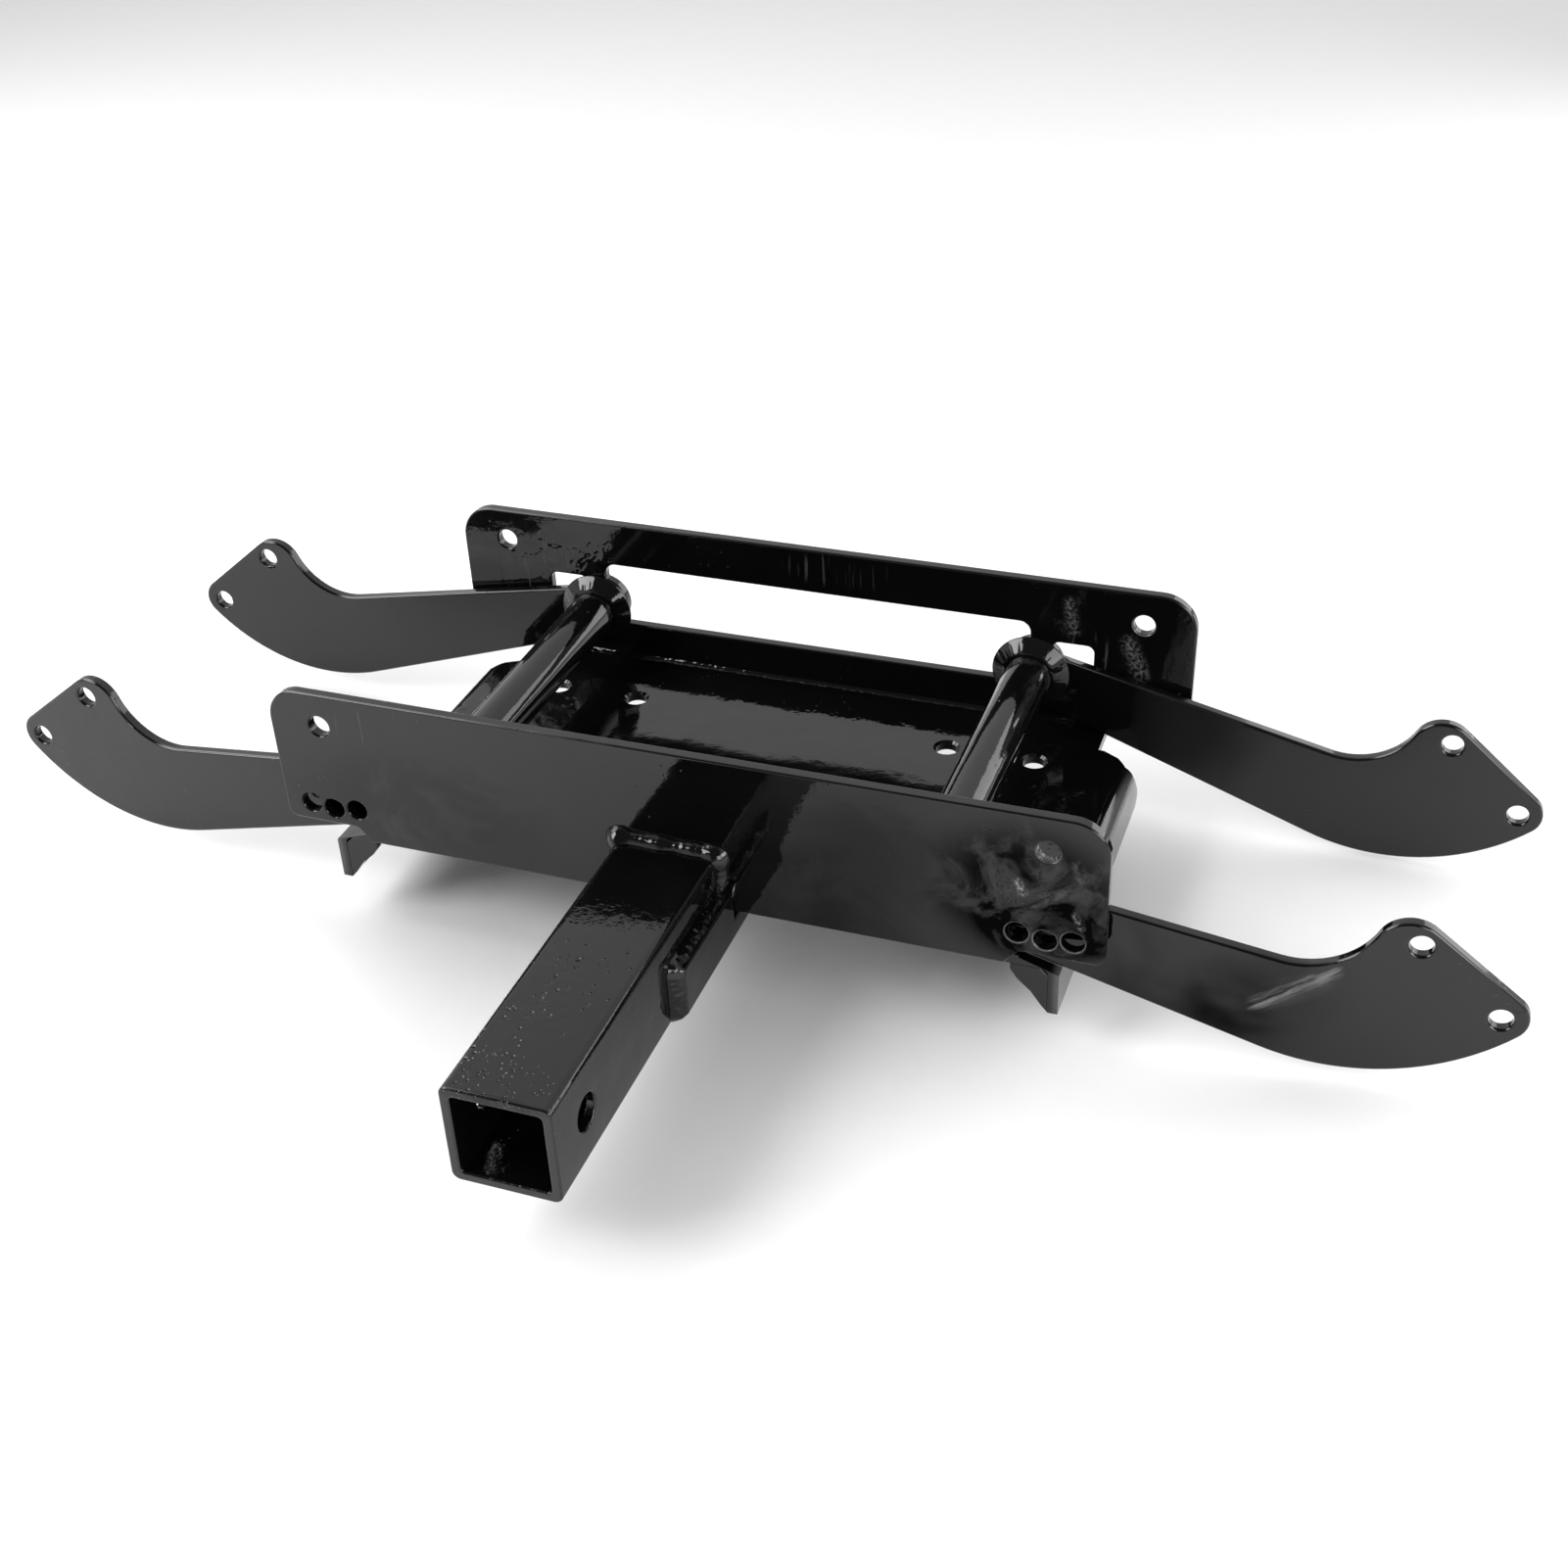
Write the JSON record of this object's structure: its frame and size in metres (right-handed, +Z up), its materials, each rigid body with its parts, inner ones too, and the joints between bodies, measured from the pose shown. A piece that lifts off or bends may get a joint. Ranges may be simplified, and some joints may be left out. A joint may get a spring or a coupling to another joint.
{
  "type": "receiver hitch cradle with swing arms",
  "caption": "Steel receiver-hitch cradle: a square shank welded to a folded tray between two upright plates, with a pair of drilled flat arms swinging on a pivot tube at each side.",
  "frame": {"origin": "centre of the hitch-pin bore, on the shank's centreline", "axes": "+X to the right along the pin bore, +Y along the shank from its open end to the plates, +Z up"},
  "size_m": [0.7733, 0.3928, 0.129],
  "materials": {
    "black_paint": "gloss",
    "bare_steel": "satin",
    "bush": "satin"
  },
  "bodies": {
    "cradle": {"shank_tube": "black_paint", "shank_weld": "black_paint", "shank_rib_right": "black_paint", "shank_rib_left": "black_paint", "rib_weld_right": "black_paint", "rib_weld_left": "black_paint", "front_plate": "black_paint", "rear_plate": "black_paint", "tray": "black_paint", "tray_web_right": "black_paint", "tray_web_left": "black_paint", "tray_front_weld": "black_paint", "tray_rear_weld": "black_paint", "pivot_shaft_right": "bare_steel", "thrust_washer_front_right": "bare_steel", "thrust_washer_rear_right": "bare_steel", "pivot_shaft_left": "bare_steel", "thrust_washer_front_left": "bare_steel", "thrust_washer_rear_left": "bare_steel"},
    "rocker_right": {"pivot_tube_right": "black_paint", "pivot_bush_front_right": "bush", "pivot_bush_rear_right": "bush", "pivot_collar_front_right": "black_paint", "pivot_collar_rear_right": "black_paint", "arm_front_right": "black_paint", "arm_rear_right": "black_paint"},
    "rocker_left": {"pivot_tube_left": "black_paint", "pivot_bush_front_left": "bush", "pivot_bush_rear_left": "bush", "pivot_collar_front_left": "black_paint", "pivot_collar_rear_left": "black_paint", "arm_front_left": "black_paint", "arm_rear_left": "black_paint"}
  },
  "joints": [
    {"name": "rocker_right_swing", "type": "hinge", "parent": "cradle", "child": "rocker_right", "pos_m": [0.124, 0.258, 0.027], "axis": [0, -1, 0], "range_deg": [0, 80]},
    {"name": "rocker_left_swing", "type": "hinge", "parent": "cradle", "child": "rocker_left", "pos_m": [-0.124, 0.258, 0.027], "axis": [0, 1, 0], "range_deg": [-2.4, 80]}
  ]
}
